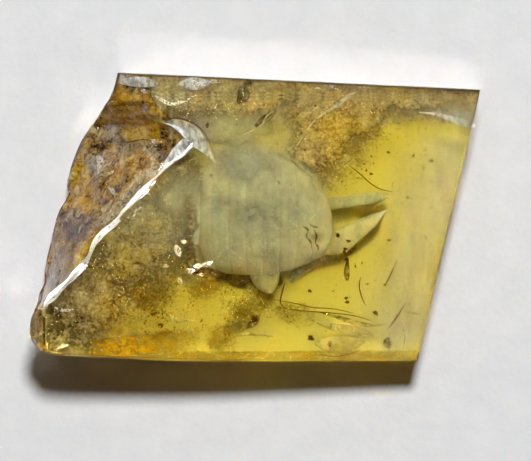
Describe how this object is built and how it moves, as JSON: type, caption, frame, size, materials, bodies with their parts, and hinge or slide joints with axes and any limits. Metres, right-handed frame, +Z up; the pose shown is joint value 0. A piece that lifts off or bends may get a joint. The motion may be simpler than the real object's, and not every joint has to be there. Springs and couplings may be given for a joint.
{
  "type": "insect in amber",
  "caption": "Flat-cut slab of clear golden amber with polished faces and a rough broken end, holding a pale insect with a broad plated body and forked tail.",
  "frame": {"origin": "middle of the piece's bounds, on the surface that its base lies on", "axes": "+X to the right along the polished faces, away from the broken end; +Y to the back, towards the faceted edge; +Z up, out of the polished top face"},
  "size_m": [0.024, 0.0154, 0.0063],
  "materials": {
    "amber": "clear golden resin, polished on the cut faces and glossy and chipped on the break",
    "insect": "dull, milky grey-green"
  },
  "bodies": {
    "root": {"amber_lower_half": "amber", "amber_upper_half": "amber", "insect": "insect"}
  },
  "joints": []
}
